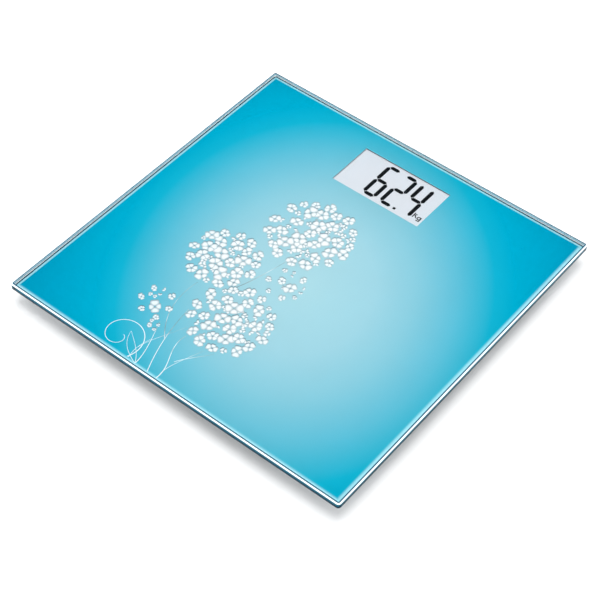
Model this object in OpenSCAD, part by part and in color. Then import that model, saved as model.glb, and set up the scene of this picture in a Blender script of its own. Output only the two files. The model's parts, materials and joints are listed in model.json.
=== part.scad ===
// Glass bathroom scale: a printed square of toughened glass on four load-cell feet.
// A case under the rear edge holds the display, the board, the coin cell and the unit button.
// The origin is on the floor under the middle of the plate: +X is the user's right, +Y the display side.

/* [Glass platform] */
// Side of the square glass plate
plate_w = 300; // [290:1:330]
// Thickness of the glass
plate_t = 6; // [5:0.5:8]
// Radius of the plate's four corners
corner_r = 2.5; // [2.5:0.5:6]
// Width of the polished bevel along every edge
bevel = 1.2; // [0.5:0.1:1.6]
// Clear margin between the edge of the glass and the print under it
print_margin = 1.5; // [1:0.1:4]

/* [Display] */
// Width of the clear window in the print
window_w = 80; // [70:1:82]
// Depth of the clear window in the print
window_d = 43; // [38:1:44]
// Distance from the middle of the plate back to the middle of the window
window_y = 107; // [100:1:108]
// Height of the digits
digit_h = 37; // [24:0.5:38]
// Width of a digit
digit_w = 12.8; // [8:0.2:13.2]
// Width of a digit's strokes
stroke = 3.2; // [1.4:0.1:3.2]

/* [Feet] */
// Distance from the plate's edges in to the middle of a foot
foot_inset = 36; // [34:1:40]
// Diameter of the rubber pad
pad_d = 32; // [26:1:32]
// Free travel of a foot against its load cell
foot_travel = 0.5; // [0.3:0.1:0.6]

/* [Wires] */
// Diameter of one load-cell wire
wire_d = 0.8; // [0.6:0.1:0.8]
// Distance between the wires of a bundle
wire_pitch = 1; // [0.9:0.05:1]

/* [Hidden] */
$fn = 64;
reading = [6, 2, 4];
lit = ["abcdef", "bc", "abged", "abgcd", "fgbc", "afgcd", "afgedc", "abc", "abcdefg", "abcdfg"];

// Heights above the floor, from the rubber pads up to the glass
pad_top = 2.6;
foot_z = 2;
disc_top = 5.2;
flange_z = 5;
flange_top = 6;
cell_z = 6.8;
cell_t = 1.5;
cell_top = cell_z + cell_t;
tape_z = 12.4;
print_z = 12.8;
glass_z = 13;

// Foot and load-cell cup
foot_xy = plate_w / 2 - foot_inset;
cup_w = 44;
cup_r = 6;
cup_z = 3.9;
cup_wall = 2;
lip_t = 0.8;
cup_roof = 10.4;
mouth_r = 17.6;
disc_r = 17.2;
flange_r = 18.7;
boss_r = 3;
cell_w = 34;
cell_slot = 2;
tongue_w = 14;
neck_w = 9;
rail_w = 3;
rail_x = cell_w / 2 - rail_w / 2;

// Electronics case
case_w = 120;
case_d = 72;
case_y = window_y - 2;
case_r = 6;
case_wall = 1.6;
case_z = 3;
case_flange = 4;
case_flange_t = 1.5;
cover_t = 1.8;
cover_top = case_z + cover_t;
cover_gap = 0.2;
screw_x = case_w / 2 - 4.4;
screw_y = case_d / 2 - 4.4;
screw_post_r = 3;
screw_at = [for (x = [-1, 1], y = [-1, 1]) [x * screw_x, case_y + y * screw_y]];

// Display stack
lcd_w = 86;
lcd_d = 50;
lcd_ledge = 3.5;
lcd_t = 1;
lcd_z = 9.9;
lcd_mid = lcd_z + lcd_t;
lcd_top = lcd_mid + lcd_t;
film_t = 0.2;
ink_t = 0.05;
holder_w = 92;
holder_d = 57;
holder_fit = 0.4;
ledge_w = 70;
ledge_d = 38;
gasket_gap = 1;
strip_w = 76;
strip_d = 2.4;
strip_y = window_y - lcd_d / 2 + 1.9;
digit_pitch = 16;
dot_w = 2.3;
digit_x = -15.5;

// Circuit board
board_t = 1.2;
board_z = 7.6;
board_top = board_z + board_t;
board_x = -20;
board_w = 71.5;
board_y = 74.2;
board_d = 62.3;
board_screw_x = holder_w / 2 - 1.4;
board_screw_y = holder_d / 2 - 1.65;
board_screw_at = [
    [board_screw_x, window_y - 17], [board_screw_x, window_y + 17],
    [-8, window_y - board_screw_y], [-8, window_y + board_screw_y]
];
post_at = [for (x = [-16, 48.5], y = [78, 132]) [x, y]];
chip_at = [10, 108];
crystal_at = [26, 120];

// Unit button and its switch
button_at = [34, 94];
button_z = 3.4;
button_r = 4;
button_rim_z = 4.9;
button_rim_top = 5.3;
button_rim_r = 5.2;
plunger_z = 5.6;
plunger_r = 1.5;
plunger_h = 1;
switch_z = 6;
switch_w = 6;

// Coin cell, its contacts and the lid
coin_at = [-39, 98];
coin_z = 4.9;
coin_r = 10;
coin_h = 3.2;
coin_top = coin_z + coin_h;
well_w = 30;
well_top = 8;
leaf_t = 0.3;
leaf_w = 5;
leaf_end = -16;
lid_w = 26;
lid_d = 26.2;
lid_t = 1.6;
lid_gap = 0.3;
hinge_y = coin_at.y + 12.7;
hinge_z = case_z + lid_t / 2;
hinge_pin_r = 0.6;
hinge_pin_l = 1.2;
hinge_play = 0.06;

// Wire routes: each starts over its load cell and ends on the board's front edge
wire_r = wire_d / 2;
wire_sides = 8;
bend_r = 4;
run_z = print_z - wire_r - 0.02;
tail_z = board_top + wire_r + 0.1;
cup_wire_z = 9.7;
drop_y = case_y - case_d / 2 + case_wall + 2;
tail_y = board_y + 3.4;
notch_w = 3.8;
entry_x = [6, 30, -12, 48];
clip_w = 5.4;
clip_l = 6;
clip_t = 0.9;
clip_wing = 2.2;
clip_wing_t = 0.35;

corner_signs = [[-1, -1], [1, -1], [-1, 1], [1, 1]];

function cup_at(i) = [corner_signs[i].x * foot_xy, corner_signs[i].y * foot_xy];

// Front bundles cross the plate on a slant, rear bundles pass in front of the case
function route(i) =
    let (
        c = cup_at(i),
        s = -corner_signs[i].y,
        start = [c.x, c.y + s * 8, cup_wire_z],
        gate = [c.x, c.y + s * 25, cup_wire_z],
        climb = [c.x, c.y + s * 28, run_z],
        x = entry_x[i],
        bend = i < 2 ? [c.x, -60, run_z] : [0.88 * c.x, 57, run_z],
        turn = i < 2 ? [x, 50, run_z] : [x, 57, run_z]
    )
    [start, gate, climb, bend, turn, [x, drop_y, run_z], [x, drop_y, tail_z], [x, tail_y, tail_z]];

function unit(v) = v / norm(v);
function in_plan(v) = [v.x, v.y, 0];
function beside(h) = [h.y, -h.x, 0];

// Direction of a step seen from above: a step straight down keeps the direction before it
function heading(p, i) =
    norm(in_plan(p[i + 1] - p[i])) > 0.01 ? unit(in_plan(p[i + 1] - p[i])) : heading(p, i - 1);

// Point i of the route, moved sideways with a mitre
function shifted(p, i, gap) =
    let (m = beside(heading(p, max(i - 1, 0))) + beside(heading(p, min(i, len(p) - 2))))
    p[i] + 2 * gap * m / (m * m);

// Corner i of the route as a short curve
function eased(p, i) =
    let (
        before = p[i - 1] - p[i],
        after = p[i + 1] - p[i],
        r = min(bend_r, 0.4 * norm(before), 0.4 * norm(after)),
        a = p[i] + r * unit(before),
        b = p[i] + r * unit(after)
    )
    [for (t = [0 : 1 / 3 : 1]) (1 - t) * (1 - t) * a + 2 * t * (1 - t) * p[i] + t * t * b];

function smooth(p) = [p[0], for (i = [1 : len(p) - 2]) each eased(p, i), p[len(p) - 1]];

// Ring of points round the route at its point i
function ring(p, i) =
    let (
        along = unit(p[min(i + 1, len(p) - 1)] - p[max(i - 1, 0)]),
        h = beside(heading(p, min(i, len(p) - 2))),
        across = unit(h - (h * along) * along),
        up = cross(across, along)
    )
    [for (k = [0 : wire_sides - 1])
        let (a = 360 * k / wire_sides)
        p[i] + wire_r * (cos(a) * across + sin(a) * up)];

// Slab with rounded corners, centred in plan, standing on z = 0
module slab(w, d, h, r) {
    linear_extrude(h) {
        square([w - 2 * r, d], center = true);
        square([w, d - 2 * r], center = true);
        for (x = [-1, 1], y = [-1, 1])
            translate([x * (w / 2 - r), y * (d / 2 - r)]) circle(r);
    }
}

module frame(w, d, h, r, inner_w, inner_d) {
    difference() {
        slab(w, d, h, r);
        translate([-inner_w / 2, -inner_d / 2, -1]) cube([inner_w, inner_d, h + 2]);
    }
}

// Box given by its lower corner on X and Y, its size and its two heights
module block(x, y, w, d, z0, z1) {
    translate([x, y, z0]) cube([w, d, z1 - z0]);
}

module disc(at, r, z0, z1) {
    translate([at.x, at.y, z0]) cylinder(r = r, h = z1 - z0);
}

// One strip of the plate, bevelled along its two long sides
module bevelled_strip() {
    w = plate_w / 2;
    l = plate_w - 2 * corner_r;
    translate([0, l / 2, 0]) rotate([90, 0, 0]) linear_extrude(l) polygon([
        [bevel - w, 0], [w - bevel, 0], [w, bevel], [w, plate_t - bevel],
        [w - bevel, plate_t], [bevel - w, plate_t], [-w, plate_t - bevel], [-w, bevel]
    ]);
}

module bevelled_corner() {
    rotate_extrude() polygon([
        [0, 0], [corner_r - bevel, 0], [corner_r, bevel], [corner_r, plate_t - bevel],
        [corner_r - bevel, plate_t], [0, plate_t]
    ]);
}

module glass_platform() {
    c = plate_w / 2 - corner_r;
    color([0.75, 0.92, 0.95, 0.4]) translate([0, 0, glass_z]) {
        bevelled_strip();
        rotate([0, 0, 90]) bevelled_strip();
        for (x = [-c, c], y = [-c, c]) translate([x, y, 0]) bevelled_corner();
    }
}

module printed_panel() {
    w = plate_w - 2 * print_margin;
    color([0.16, 0.7, 0.84]) translate([0, 0, print_z]) difference() {
        slab(w, w, glass_z - print_z, 2);
        translate([0, window_y, -1]) linear_extrude(2) square([window_w, window_d], center = true);
    }
}

module lcd_front_glass() {
    color([0.86, 0.89, 0.95]) translate([0, window_y, lcd_mid]) slab(lcd_w, lcd_d, lcd_t, 0.5);
}

module lcd_back_glass() {
    color([0.8, 0.85, 0.92]) translate([0, window_y + lcd_ledge / 2, lcd_z])
        slab(lcd_w, lcd_d - lcd_ledge, lcd_t, 0.5);
}

module lcd_reflector() {
    color([0.78, 0.8, 0.82]) translate([0, window_y + lcd_ledge / 2, lcd_z - film_t])
        slab(lcd_w - 2, lcd_d - lcd_ledge - 1.5, film_t, 0.5);
}

// Pointed bar of a seven-segment digit, lying along X
module segment(l) {
    h = l / 2 - 0.3;
    t = stroke / 2;
    polygon([[-h, 0], [t - h, t], [h - t, t], [h, 0], [h - t, -t], [t - h, -t]]);
}

module digit(n) {
    w = digit_w - stroke;
    h = (digit_h - stroke) / 2;
    for (s = lit[n]) {
        if (s == "a") translate([w / 2, 2 * h]) segment(w);
        if (s == "g") translate([w / 2, h]) segment(w);
        if (s == "d") translate([w / 2, 0]) segment(w);
        if (s == "f") translate([0, 1.5 * h]) rotate(90) segment(h);
        if (s == "b") translate([w, 1.5 * h]) rotate(90) segment(h);
        if (s == "e") translate([0, 0.5 * h]) rotate(90) segment(h);
        if (s == "c") translate([w, 0.5 * h]) rotate(90) segment(h);
    }
}

// The small unit letters beside the last digit
module unit_letters() {
    t = 0.85;
    square([t, 5.2]);
    translate([t, 1.9]) rotate(48) square([2.9, t]);
    translate([t + 0.45, 2.35]) rotate(-50) square([2.9, t]);
    translate([5.6, 1.6]) difference() {
        circle(1.75);
        circle(0.9);
    }
    translate([6.6, -1.6]) square([t, 4.9]);
    translate([4.4, -1.6]) square([2.6, t]);
}

module lcd_digits() {
    y = window_y - digit_h / 2 + stroke / 2 + 0.6;
    dot_x = digit_x + digit_pitch + digit_w + 1.7;
    color([0.05, 0.05, 0.06]) translate([0, 0, lcd_top]) linear_extrude(ink_t) {
        for (i = [0 : len(reading) - 1])
            translate([digit_x + stroke / 2 + i * digit_pitch, y]) digit(reading[i]);
        translate([dot_x, y]) square(dot_w, center = true);
        translate([30.2, y + 1.6]) unit_letters();
    }
}

module lcd_holder() {
    color([0.93, 0.93, 0.9]) difference() {
        translate([0, window_y, board_top]) slab(holder_w, holder_d, lcd_top - board_top, 2);
        block(-(lcd_w + holder_fit) / 2, window_y - (lcd_d + holder_fit) / 2,
            lcd_w + holder_fit, lcd_d + holder_fit, lcd_z - film_t, lcd_top + 1);
        block(-ledge_w / 2, window_y - ledge_d / 2, ledge_w, ledge_d, board_top - 1, lcd_top);
        block(-strip_w / 2 - 0.3, strip_y - strip_d / 2 - 0.3, strip_w + 0.6, strip_d + 0.6,
            board_top - 1, lcd_top);
        for (p = board_screw_at) disc(p, 0.85, board_top - 1, lcd_z + 1);
    }
}

module window_gasket() {
    color([0.15, 0.15, 0.16]) translate([0, window_y, lcd_top])
        frame(holder_w, holder_d, print_z - lcd_top, 2, window_w + gasket_gap, window_d + gasket_gap);
}

// Striped rubber strip that joins the board to the glass of the display
module contact_strip() {
    color([0.85, 0.75, 0.78])
        block(-strip_w / 2, strip_y - strip_d / 2, strip_w, strip_d, board_top, lcd_mid);
}

module circuit_board() {
    color([0.05, 0.35, 0.16]) difference() {
        block(board_x, board_y, board_w, board_d, board_z, board_top);
        for (p = board_screw_at) disc(p, 0.95, board_z - 1, board_top + 1);
    }
}

// Low dome of black resin over the chip, on the board's underside
module chip_blob() {
    blob_r = 7;
    blob_h = 1.3;
    ball_r = (blob_r * blob_r + blob_h * blob_h) / (2 * blob_h);
    sweep = asin(blob_r / ball_r);
    color([0.06, 0.06, 0.06]) translate([chip_at.x, chip_at.y, board_z - blob_h + ball_r])
        rotate_extrude() polygon([
            [0, blob_h - ball_r],
            for (a = [sweep : -sweep / 8 : 0.01]) [ball_r * sin(a), -ball_r * cos(a)],
            [0, -ball_r]
        ]);
}

module board_parts() {
    chip_w = 2;
    chip_d = 1.2;
    chip_h = 0.6;
    color([0.72, 0.62, 0.45]) {
        for (i = [0 : 7]) block(-4 + 4 * i, 86, chip_d, chip_w, board_z - chip_h, board_z);
        for (i = [0 : 4]) block(20, 100 + 3.4 * i, chip_w, chip_d, board_z - chip_h, board_z);
        for (i = [0 : 2]) disc([-10, 96 + 8 * i], 2, board_z - 1.8, board_z);
        translate([crystal_at.x, crystal_at.y, board_z - 1.2]) rotate([0, 90, 0]) cylinder(r = 1.2, h = 7);
        for (x = entry_x, k = [-1 : 1]) disc([x + k * wire_pitch, tail_y], 0.42, board_top, tail_z - wire_r);
    }
}

// Screw with a cross recess, head down, its head's underside at z = 0
module screw(head_r, head_h, shank_r, shank_l) {
    difference() {
        union() {
            translate([0, 0, -head_h]) cylinder(r = head_r, h = head_h);
            cylinder(r = shank_r, h = shank_l);
        }
        for (a = [0, 90]) rotate([0, 0, a])
            translate([-head_r * 0.6, -head_r * 0.12, -head_h - 1])
                cube([head_r * 1.2, head_r * 0.24, 1 + head_h * 0.5]);
    }
}

module board_screws() {
    color([0.75, 0.76, 0.78])
        for (p = board_screw_at) translate([p.x, p.y, board_z]) screw(1.5, 1, 0.8, 2.8);
}

module switch_body() {
    color([0.2, 0.2, 0.21]) difference() {
        block(button_at.x - switch_w / 2, button_at.y - switch_w / 2, switch_w, switch_w, switch_z, board_z);
        disc(button_at, plunger_r + 0.15, switch_z - 1, switch_z + 1.3);
    }
}

module case_shell() {
    inner_w = case_w - 2 * case_wall;
    inner_d = case_d - 2 * case_wall;
    color([0.9, 0.91, 0.91]) difference() {
        union() {
            translate([0, case_y, case_z]) slab(case_w, case_d, tape_z - case_z, case_r);
            translate([0, case_y, tape_z - case_flange_t])
                slab(case_w + 2 * case_flange, case_d + 2 * case_flange, case_flange_t, case_r + case_flange);
        }
        difference() {
            translate([0, case_y, case_z - 1])
                slab(inner_w, inner_d, tape_z - case_z + 2, case_r - case_wall);
            for (p = screw_at) disc(p, screw_post_r, cover_top, tape_z);
        }
        for (p = screw_at) disc(p, 1, case_z, tape_z - 2);
        for (x = entry_x)
            block(x - notch_w / 2, case_y - case_d, notch_w, case_d / 2 + 2 * case_wall, tape_z - 0.7, tape_z + 1);
    }
}

module case_tape() {
    color([0.25, 0.25, 0.26]) difference() {
        translate([0, case_y, tape_z])
            frame(case_w + 2 * case_flange, case_d + 2 * case_flange, print_z - tape_z,
                case_r + case_flange, case_w - 1, case_d - 1);
        for (x = entry_x)
            block(x - notch_w / 2, case_y - case_d, notch_w, case_d / 2 + 2 * case_wall, tape_z - 1, print_z + 1);
    }
}

module case_cover() {
    play = 2 * (case_wall + cover_gap);
    open_w = lid_w + 2 * lid_gap;
    open_y = hinge_y + lid_t / 2 + lid_gap;
    open_d = lid_d + lid_t / 2 + 2 * lid_gap;
    leaf_slot = leaf_w + 1;
    color([0.88, 0.89, 0.89]) difference() {
        union() {
            translate([0, case_y, case_z])
                slab(case_w - play, case_d - play, cover_t, case_r - case_wall - cover_gap);
            block(coin_at.x - well_w / 2, coin_at.y - well_w / 2, well_w, well_w, cover_top, well_top);
            for (p = post_at) disc(p, 2, cover_top, board_z);
        }
        block(coin_at.x - open_w / 2, open_y - open_d, open_w, open_d, case_z - 1, cover_top);
        disc(coin_at, coin_r + 0.3, case_z, well_top + 1);
        block(coin_at.x + coin_r - 1, coin_at.y - leaf_slot / 2, well_w, leaf_slot, cover_top, well_top + 1);
        translate([coin_at.x - open_w / 2 - hinge_pin_l, hinge_y, hinge_z]) rotate([0, 90, 0])
            cylinder(r = hinge_pin_r + hinge_play, h = open_w + 2 * hinge_pin_l);
        disc(button_at, button_r + 0.3, case_z - 1, cover_top + 1);
        for (p = screw_at) {
            disc(p, 2.3, case_z - 1, case_z + 1.2);
            disc(p, 1.3, case_z, cover_top + 1);
        }
    }
}

module cover_screws() {
    color([0.7, 0.71, 0.73])
        for (p = screw_at) translate([p.x, p.y, case_z + 1.2]) screw(2, 1, 0.95, 5);
}

module coin_cell() {
    color([0.8, 0.81, 0.83]) translate([coin_at.x, coin_at.y, coin_z]) rotate_extrude() polygon([
        [0, 0], [coin_r - 0.3, 0], [coin_r, 0.3], [coin_r, coin_h - 0.5],
        [coin_r - 0.3, coin_h - 0.25], [coin_r - 1.1, coin_h - 0.25], [coin_r - 1.1, coin_h], [0, coin_h]
    ]);
}

// Leaf that stands beside the coin cell's rim and runs to the board
module contact_plus() {
    x = coin_at.x + coin_r;
    y = coin_at.y - leaf_w / 2;
    color([0.85, 0.72, 0.4]) {
        block(x, y, leaf_t, leaf_w, coin_z + 0.4, board_top + leaf_t);
        block(x, y, leaf_end - x, leaf_w, board_top, board_top + leaf_t);
    }
}

// Leaf that lies on the coin cell's small face and steps up on to the board
module contact_minus() {
    y = coin_at.y - leaf_w / 2 - 6.5;
    step_x = board_x - 2.4;
    color([0.85, 0.72, 0.4]) {
        block(coin_at.x - 4, y, step_x + leaf_t - coin_at.x + 4, leaf_w, coin_top, coin_top + leaf_t);
        block(step_x, y, leaf_t, leaf_w, coin_top, board_top + leaf_t);
        block(step_x, y, leaf_end - step_x, leaf_w, board_top, board_top + leaf_t);
    }
}

// Lid that swings down on two short pins at its rear edge
module battery_lid() {
    pin_span = lid_w + 2 * hinge_pin_l;
    grip_w = 14;
    color([0.86, 0.87, 0.87]) {
        difference() {
            block(coin_at.x - lid_w / 2, hinge_y - lid_d, lid_w, lid_d, case_z, case_z + lid_t);
            for (i = [0 : 3])
                block(coin_at.x - grip_w / 2, hinge_y - lid_d + 3 + 1.6 * i, grip_w, 0.8, case_z - 1, case_z + 0.4);
        }
        translate([coin_at.x - lid_w / 2, hinge_y, hinge_z]) rotate([0, 90, 0])
            cylinder(r = lid_t / 2, h = lid_w);
        translate([coin_at.x - pin_span / 2, hinge_y, hinge_z]) rotate([0, 90, 0])
            cylinder(r = hinge_pin_r, h = pin_span);
    }
}

module unit_button() {
    color([0.45, 0.47, 0.5]) {
        disc(button_at, button_r, button_z, button_rim_top);
        disc(button_at, button_rim_r, button_rim_z, button_rim_top);
        disc(button_at, plunger_r, button_rim_top, plunger_z);
    }
}

module switch_plunger() {
    color([0.1, 0.1, 0.1]) disc(button_at, plunger_r, plunger_z, plunger_z + plunger_h);
}

module at_cup(i) {
    translate([cup_at(i).x, cup_at(i).y, 0]) children();
}

module cell_cup(i) {
    inner = cup_w - 2 * cup_wall;
    gate = -corner_signs[i].y;
    color([0.92, 0.92, 0.91]) at_cup(i) {
        difference() {
            translate([0, 0, cup_z]) slab(cup_w, cup_w, tape_z - cup_z, cup_r);
            translate([0, 0, cup_z + lip_t]) slab(inner, inner, cup_roof - cup_z - lip_t, cup_r - cup_wall);
            translate([0, 0, cup_z - 1]) cylinder(r = mouth_r, h = 2 + lip_t);
            translate([-notch_w / 2, gate * cup_w / 2 - cup_wall - 1, cup_wire_z - 0.6])
                cube([notch_w, 2 * cup_wall + 2, cup_roof - cup_wire_z + 0.6]);
        }
        for (x = [-rail_x, rail_x])
            translate([x - rail_w / 2, -cell_w / 2, cell_top]) cube([rail_w, cell_w, cup_roof - cell_top]);
    }
}

module cup_tape(i) {
    color([0.25, 0.25, 0.26]) at_cup(i) translate([0, 0, tape_z])
        slab(cup_w - 2, cup_w - 2, print_z - tape_z, cup_r - 1);
}

// Stamped steel plate: the slot leaves a tongue held by one neck on the wire side
module load_cell(i) {
    turn = corner_signs[i].y < 0 ? 0 : 180;
    half = tongue_w / 2;
    neck_y = 7;
    tip_y = -11;
    color([0.68, 0.69, 0.7]) at_cup(i) rotate([0, 0, turn]) translate([0, 0, cell_z]) difference() {
        slab(cell_w, cell_w, cell_t, 2);
        translate([0, 0, -1]) linear_extrude(cell_t + 2) {
            translate([-half - cell_slot, tip_y - cell_slot]) square([tongue_w + 2 * cell_slot, cell_slot]);
            for (x = [-half - cell_slot, half]) translate([x, tip_y - 0.5]) square([cell_slot, neck_y - tip_y + 0.5]);
            for (x = [-half - cell_slot, neck_w / 2])
                translate([x, neck_y - cell_slot]) square([half + cell_slot - neck_w / 2, cell_slot]);
        }
        for (x = [-14, 14], y = [-14, 14]) translate([x, y, -1]) cylinder(r = 1.2, h = cell_t + 2);
    }
}

module gauge_coat(i) {
    gate = -corner_signs[i].y;
    color([0.95, 0.95, 0.92]) at_cup(i) translate([0, gate * 5, cell_top]) slab(7, 5, 0.7, 2);
}

module foot_plate(i) {
    color([0.9, 0.9, 0.89]) at_cup(i) {
        difference() {
            union() {
                translate([0, 0, foot_z]) cylinder(r = disc_r, h = disc_top - foot_z);
                translate([0, 0, flange_z]) cylinder(r = flange_r, h = flange_top - flange_z);
            }
            translate([0, 0, foot_z - 1]) cylinder(d = pad_d, h = 1 + pad_top - foot_z);
            for (a = [0 : 45 : 315]) rotate([0, 0, a]) translate([6, -1.2, flange_top - 1.2]) cube([9, 2.4, 2]);
        }
        translate([0, 0, flange_top - 0.1]) cylinder(r = boss_r, h = cell_z - flange_top + 0.1);
    }
}

// Rubber pad with a bevelled rim and two grip grooves round its underside
module foot_pad(i) {
    r = pad_d / 2;
    groove = 0.6;
    color([0.2, 0.2, 0.21]) at_cup(i) rotate_extrude() polygon([
        [0, 0], [r - 8, 0], [r - 8, groove], [r - 7.2, groove], [r - 7.2, 0],
        [r - 4.4, 0], [r - 4.4, groove], [r - 3.6, groove], [r - 3.6, 0],
        [r - 0.8, 0], [r, 0.8], [r, pad_top], [0, pad_top]
    ]);
}

// Tube of eight sides along a route
module tube(p) {
    n = wire_sides;
    last = len(p) - 1;
    polyhedron(
        points = [for (i = [0 : last]) each ring(p, i)],
        faces = concat(
            [[for (k = [0 : n - 1]) k]],
            [[for (k = [n - 1 : -1 : 0]) last * n + k]],
            [for (i = [0 : last - 1], k = [0 : n - 1])
                [i * n + k, (i + 1) * n + k, (i + 1) * n + (k + 1) % n]],
            [for (i = [0 : last - 1], k = [0 : n - 1])
                [i * n + k, (i + 1) * n + (k + 1) % n, i * n + (k + 1) % n]]
        )
    );
}

module wires(i) {
    p = route(i);
    color([0.75, 0.1, 0.1]) for (k = [-1 : 1])
        tube(smooth([for (j = [0 : len(p) - 1]) shifted(p, j, k * wire_pitch)]));
}

// Saddle that holds a bundle against the print, its wings stuck down
module clip() {
    difference() {
        union() {
            block(-clip_l / 2, -clip_w / 2, clip_l, clip_w, print_z - clip_t - 0.4, print_z);
            block(-clip_l / 2, -clip_w / 2 - clip_wing, clip_l, clip_w + 2 * clip_wing,
                print_z - clip_wing_t, print_z);
        }
        block(-clip_l, -notch_w / 2, 2 * clip_l, notch_w, print_z - clip_t, print_z + 1);
    }
}

module wire_clips(i) {
    p = route(i);
    stations = i < 2 ? [[2, 0.6], [3, 0.2], [3, 0.5], [3, 0.8]] : [[2, 0.55], [3, 0.25], [3, 0.65]];
    color([0.88, 0.88, 0.86]) for (s = stations) {
        h = heading(p, s[0]);
        at = p[s[0]] + s[1] * (p[s[0] + 1] - p[s[0]]);
        translate([at.x, at.y, 0]) rotate([0, 0, atan2(h.y, h.x)]) clip();
    }
}

glass_platform();
printed_panel();
lcd_front_glass();
lcd_back_glass();
lcd_reflector();
lcd_digits();
lcd_holder();
window_gasket();
contact_strip();
circuit_board();
chip_blob();
board_parts();
board_screws();
switch_body();
case_shell();
case_tape();
case_cover();
cover_screws();
coin_cell();
contact_plus();
contact_minus();
battery_lid();
unit_button();
switch_plunger();
cell_cup(0);  // cell_cup_fl
cell_cup(1);  // cell_cup_fr
cell_cup(2);  // cell_cup_rl
cell_cup(3);  // cell_cup_rr
cup_tape(0);  // cup_tape_fl
cup_tape(1);  // cup_tape_fr
cup_tape(2);  // cup_tape_rl
cup_tape(3);  // cup_tape_rr
load_cell(0);  // load_cell_fl
load_cell(1);  // load_cell_fr
load_cell(2);  // load_cell_rl
load_cell(3);  // load_cell_rr
gauge_coat(0);  // gauge_coat_fl
gauge_coat(1);  // gauge_coat_fr
gauge_coat(2);  // gauge_coat_rl
gauge_coat(3);  // gauge_coat_rr
foot_plate(0);  // foot_plate_fl
foot_plate(1);  // foot_plate_fr
foot_plate(2);  // foot_plate_rl
foot_plate(3);  // foot_plate_rr
foot_pad(0);  // foot_pad_fl
foot_pad(1);  // foot_pad_fr
foot_pad(2);  // foot_pad_rl
foot_pad(3);  // foot_pad_rr
wires(0);  // wires_fl
wires(1);  // wires_fr
wires(2);  // wires_rl
wires(3);  // wires_rr
wire_clips(0);  // wire_clips_fl
wire_clips(1);  // wire_clips_fr
wire_clips(2);  // wire_clips_rl
wire_clips(3);  // wire_clips_rr
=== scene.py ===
import bpy
import bmesh
import json
import math
from mathutils import Matrix, Vector

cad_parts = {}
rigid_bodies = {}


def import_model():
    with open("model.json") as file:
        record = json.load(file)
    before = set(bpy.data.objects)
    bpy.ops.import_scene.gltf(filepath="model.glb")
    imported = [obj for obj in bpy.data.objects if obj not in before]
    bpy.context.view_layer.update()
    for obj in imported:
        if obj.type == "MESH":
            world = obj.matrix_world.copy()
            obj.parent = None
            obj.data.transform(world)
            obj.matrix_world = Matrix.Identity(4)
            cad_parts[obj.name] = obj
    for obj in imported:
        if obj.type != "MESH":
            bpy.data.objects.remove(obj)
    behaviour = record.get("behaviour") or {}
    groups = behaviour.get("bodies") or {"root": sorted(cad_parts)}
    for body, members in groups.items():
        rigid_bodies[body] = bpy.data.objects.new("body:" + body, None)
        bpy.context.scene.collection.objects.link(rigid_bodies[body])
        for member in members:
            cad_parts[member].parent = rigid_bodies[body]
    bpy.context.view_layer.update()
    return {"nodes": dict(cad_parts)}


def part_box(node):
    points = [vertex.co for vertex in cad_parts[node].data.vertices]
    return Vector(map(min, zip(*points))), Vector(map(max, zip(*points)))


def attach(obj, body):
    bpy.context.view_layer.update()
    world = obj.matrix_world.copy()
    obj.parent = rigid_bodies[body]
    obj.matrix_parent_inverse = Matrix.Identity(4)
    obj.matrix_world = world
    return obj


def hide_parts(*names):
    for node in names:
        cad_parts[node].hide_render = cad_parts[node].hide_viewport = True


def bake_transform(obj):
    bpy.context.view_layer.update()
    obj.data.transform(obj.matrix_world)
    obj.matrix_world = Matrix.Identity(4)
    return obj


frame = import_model()
nodes = frame["nodes"]
scene = bpy.context.scene
mm = 0.001
corners = ("fl", "fr", "rl", "rr")
glassLow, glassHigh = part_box("glass_platform")
print("frame loaded,", len(nodes), "nodes")

cameraSetup = {"azimuth": 37.722, "elevation": 48.8626, "roll": 1.515, "lens": 98.807,
               "place": (0.49359, -0.64109, 0.90449)}


def makeCamera(setup):
    turn, lift, roll = (math.radians(setup[k]) for k in ("azimuth", "elevation", "roll"))
    back = Vector((math.sin(turn) * math.cos(lift), -math.cos(turn) * math.cos(lift), math.sin(lift)))
    side = Vector((math.cos(turn), math.sin(turn), 0))
    over = back.cross(side)
    right = side * math.cos(roll) + over * math.sin(roll)
    up = over * math.cos(roll) - side * math.sin(roll)
    data = bpy.data.cameras.new("camera")
    data.lens = setup["lens"]
    data.sensor_width = 36
    data.clip_end = 50
    camera = bpy.data.objects.new("camera", data)
    scene.collection.objects.link(camera)
    camera.matrix_world = Matrix.Translation(setup["place"]) @ Matrix((right, up, back)).transposed().to_4x4()
    scene.camera = camera


makeCamera(cameraSetup)


# shader groups that several finishes share
def newGroup(name, inputs, outputs):
    group = bpy.data.node_groups.new(name, "ShaderNodeTree")
    for label, kind, value in inputs:
        socket = group.interface.new_socket(label, in_out="INPUT", socket_type=kind)
        socket.default_value = value
    for label, kind in outputs:
        group.interface.new_socket(label, in_out="OUTPUT", socket_type=kind)
    return group, group.nodes.new("NodeGroupInput"), group.nodes.new("NodeGroupOutput")


def place(tree, kind, values=None, **settings):
    node = tree.nodes.new(kind)
    for key, value in settings.items():
        setattr(node, key, value)
    for key, value in (values or {}).items():
        if isinstance(value, bpy.types.NodeSocket):
            tree.links.new(value, node.inputs[key])
        else:
            node.inputs[key].default_value = value
    return node


def calc(tree, operation, first, second=0.0, clamp=False):
    node = place(tree, "ShaderNodeMath", {0: first, 1: second}, operation=operation, use_clamp=clamp)
    return node.outputs[0]


def blendColour(tree, factor, first, second, mode="MIX"):
    node = place(tree, "ShaderNodeMix", {0: factor, 6: first, 7: second}, data_type="RGBA", blend_type=mode)
    return node.outputs[2]


def noise(tree, vector, scale, detail=4.0, roughness=0.55):
    return place(tree, "ShaderNodeTexNoise",
                 {"Vector": vector, "Scale": scale, "Detail": detail, "Roughness": roughness}).outputs[0]


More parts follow.
